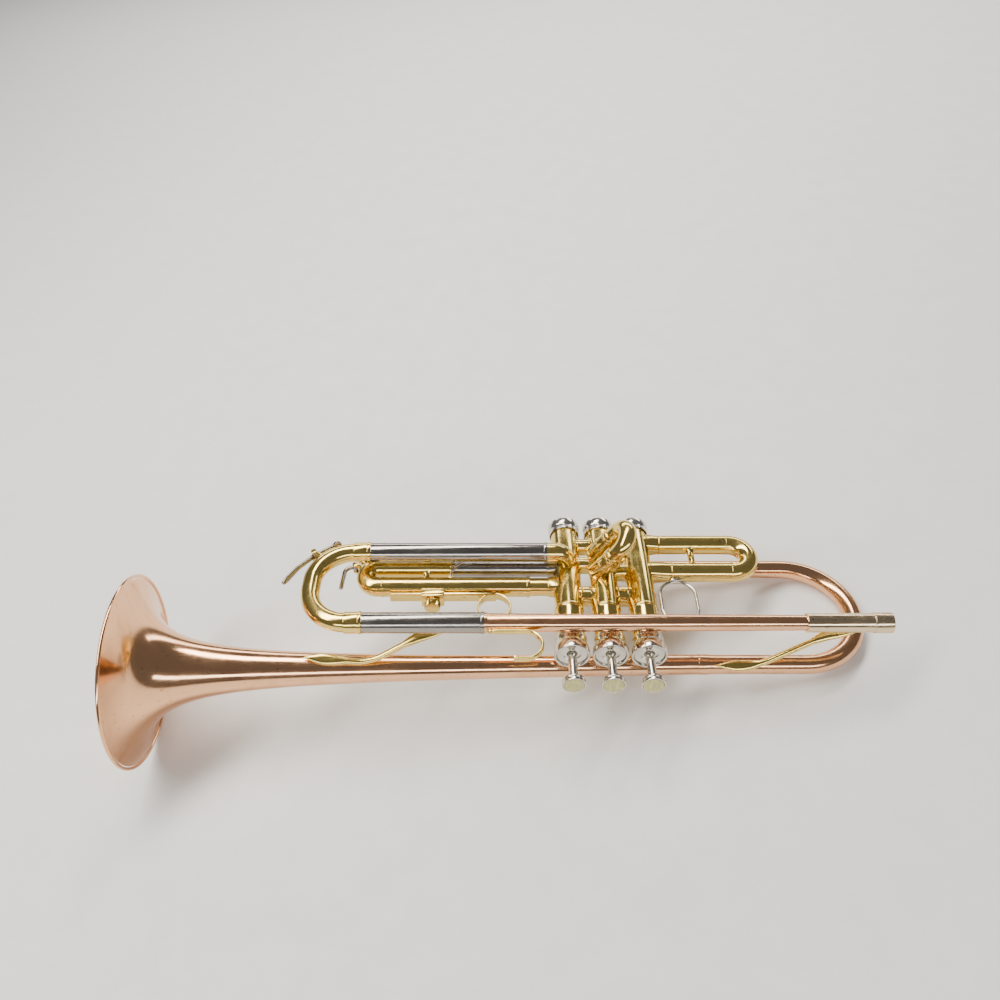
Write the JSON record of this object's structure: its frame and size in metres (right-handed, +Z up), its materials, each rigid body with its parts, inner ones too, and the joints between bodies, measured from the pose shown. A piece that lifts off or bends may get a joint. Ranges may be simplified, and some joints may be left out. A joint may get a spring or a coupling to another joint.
{
  "type": "trumpet",
  "caption": "B-flat trumpet with piston valves, movable tuning slides, two water keys, a finger ring and a flared bell, lying on its side.",
  "frame": {"origin": "centre of the bounding box's base, on the surface that the trumpet lies on", "axes": "+X from the bell towards the mouthpiece, +Y from the finger buttons towards the bottom caps, +Z up out of the leadpipe side"},
  "size_m": [0.4856, 0.1728, 0.1229],
  "materials": {
    "rose_brass": "lacquered",
    "yellow_brass": "lacquered",
    "nickel_silver": "worn polish",
    "bright_nickel": "polished plate",
    "dark_nickel": "tarnished plate",
    "spring_steel": "plain wire",
    "pearl": "polished"
  },
  "bodies": {
    "frame": {"bell_flare": "rose_brass", "bell_tail": "rose_brass", "bell_rim_bead": "rose_brass", "bell_bow": "rose_brass", "leadpipe": "rose_brass", "mouthpiece_receiver": "nickel_silver", "tuning_tube_upper": "nickel_silver", "tuning_tube_lower": "nickel_silver", "tuning_elbow": "yellow_brass", "valve_casing_1": "yellow_brass", "top_cap_1": "bright_nickel", "bottom_cap_1": "bright_nickel", "valve_spring_1": "spring_steel", "valve_casing_2": "yellow_brass", "top_cap_2": "bright_nickel", "bottom_cap_2": "bright_nickel", "valve_spring_2": "spring_steel", "valve_casing_3": "yellow_brass", "top_cap_3": "bright_nickel", "bottom_cap_3": "bright_nickel", "valve_spring_3": "spring_steel", "crossover_3_2": "yellow_brass", "crossover_2_1": "yellow_brass", "bridge_3_2_upper": "yellow_brass", "bridge_3_2_lower": "yellow_brass", "bridge_2_1": "yellow_brass", "slide_3_tube_near": "yellow_brass", "slide_3_tube_far": "nickel_silver", "slide_1_tube_near": "yellow_brass", "slide_1_tube_far": "yellow_brass", "slide_2_socket_near": "yellow_brass", "slide_2_socket_far": "yellow_brass", "finger_hook": "yellow_brass", "front_brace": "yellow_brass", "rear_brace": "yellow_brass", "leadpipe_post": "yellow_brass", "bell_post_front": "yellow_brass", "bell_post_rear": "yellow_brass"},
    "valve_1": {"valve_piston_1": "nickel_silver", "valve_stem_1": "bright_nickel", "finger_button_1": "bright_nickel", "button_pearl_1": "pearl"},
    "valve_2": {"valve_piston_2": "nickel_silver", "valve_stem_2": "bright_nickel", "finger_button_2": "bright_nickel", "button_pearl_2": "pearl"},
    "valve_3": {"valve_piston_3": "nickel_silver", "valve_stem_3": "bright_nickel", "finger_button_3": "bright_nickel", "button_pearl_3": "pearl"},
    "main_slide": {"tuning_slide": "yellow_brass"},
    "main_water_key": {"water_key_main": "dark_nickel"},
    "third_slide": {"slide_3": "yellow_brass", "slide_3_stop_wire": "bright_nickel"},
    "third_water_key": {"water_key_slide_3": "dark_nickel"},
    "ring": {"finger_ring": "yellow_brass"},
    "thumbscrew": {"ring_thumbscrew": "yellow_brass"},
    "second_slide": {"slide_2": "yellow_brass"},
    "first_slide": {"slide_1": "yellow_brass", "thumb_saddle": "bright_nickel"}
  },
  "joints": [
    {"name": "valve_1_press", "type": "slide", "parent": "frame", "child": "valve_1", "axis": [-0.0063, 0.9984, -0.0564], "range_m": [0, 0.0165], "stiffness_N_per_m": 150, "springref_m": -0.02, "deforming": ["valve_spring_1"]},
    {"name": "valve_2_press", "type": "slide", "parent": "frame", "child": "valve_2", "axis": [-0.0063, 0.9984, -0.0564], "range_m": [0, 0.0165], "stiffness_N_per_m": 150, "springref_m": -0.02, "deforming": ["valve_spring_2"]},
    {"name": "valve_3_press", "type": "slide", "parent": "frame", "child": "valve_3", "axis": [-0.0063, 0.9984, -0.0564], "range_m": [0, 0.0165], "stiffness_N_per_m": 150, "springref_m": -0.02, "deforming": ["valve_spring_3"]},
    {"name": "main_slide_pull", "type": "slide", "parent": "frame", "child": "main_slide", "axis": [-0.9938, 0, 0.1108], "range_m": [0, 0.045]},
    {"name": "main_water_key_hinge", "type": "hinge", "parent": "main_slide", "child": "main_water_key", "pos_m": [-0.12229, 0.04385, 0.08197], "axis": [0.1106, 0.0567, 0.9922], "range_deg": [0, 12], "stiffness_Nm_per_rad": 0.05, "springref_deg": -34.38},
    {"name": "third_slide_pull", "type": "slide", "parent": "frame", "child": "third_slide", "axis": [-0.9938, 0, 0.1108], "range_m": [0, 0.022]},
    {"name": "third_water_key_hinge", "type": "hinge", "parent": "third_slide", "child": "third_water_key", "pos_m": [-0.09946, 0.04763, 0.06207], "axis": [0.1106, 0.0567, 0.9922], "range_deg": [0, 12], "stiffness_Nm_per_rad": 0.05, "springref_deg": -34.38},
    {"name": "ring_adjust", "type": "slide", "parent": "third_slide", "child": "ring", "axis": [0.9938, 0, -0.1108], "range_m": [-0.018, 0.012]},
    {"name": "thumbscrew_turn", "type": "hinge", "parent": "third_slide", "child": "thumbscrew", "pos_m": [-0.04552, 0.01372, 0.058], "axis": [-0.0063, 0.9984, -0.0564], "range_deg": [0, 180]},
    {"name": "second_slide_pull", "type": "slide", "parent": "frame", "child": "second_slide", "axis": [0.6341, 0.0476, 0.7718], "range_m": [0, 0.008]},
    {"name": "first_slide_pull", "type": "slide", "parent": "frame", "child": "first_slide", "axis": [0.9938, 0, -0.1108], "range_m": [0, 0.022]}
  ]
}
